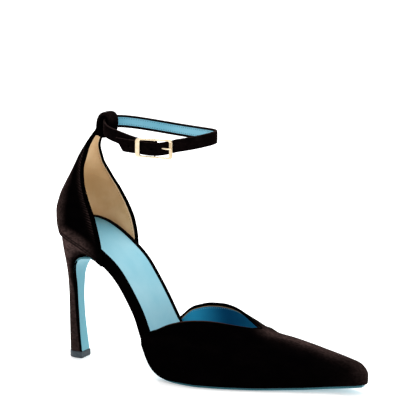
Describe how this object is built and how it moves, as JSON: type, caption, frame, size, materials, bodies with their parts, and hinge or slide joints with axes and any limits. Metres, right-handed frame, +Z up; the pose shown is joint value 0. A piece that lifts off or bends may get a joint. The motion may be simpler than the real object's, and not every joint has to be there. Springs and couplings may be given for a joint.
{
  "type": "ankle strap d'orsay pump",
  "caption": "Right-foot dress shoe with pointed closed toe, open sides, slim high heel and a buckled strap around the ankle through a folded loop at the back.",
  "frame": {"origin": "on the floor, under the middle of the shoe's box", "axes": "+X from the heel to the toe, +Y to the inner (medial) side of the foot, +Z up"},
  "size_m": [0.2428, 0.073, 0.1872],
  "materials": {
    "brown_velvet": "near-black brown velvet with a short nap",
    "blue_leather": "smooth sky-blue leather",
    "slate_rubber": "matt slate grey",
    "pale_gold": "polished pale gold plating"
  },
  "bodies": {
    "root": {"outsole": "blue_leather", "insole_board": "brown_velvet", "insole_sock": "blue_leather", "vamp": "brown_velvet", "counter": "brown_velvet", "heel": "brown_velvet", "top_piece": "slate_rubber", "ankle_strap": "brown_velvet", "buckle_frame": "pale_gold", "buckle_prong": "pale_gold"}
  },
  "joints": []
}
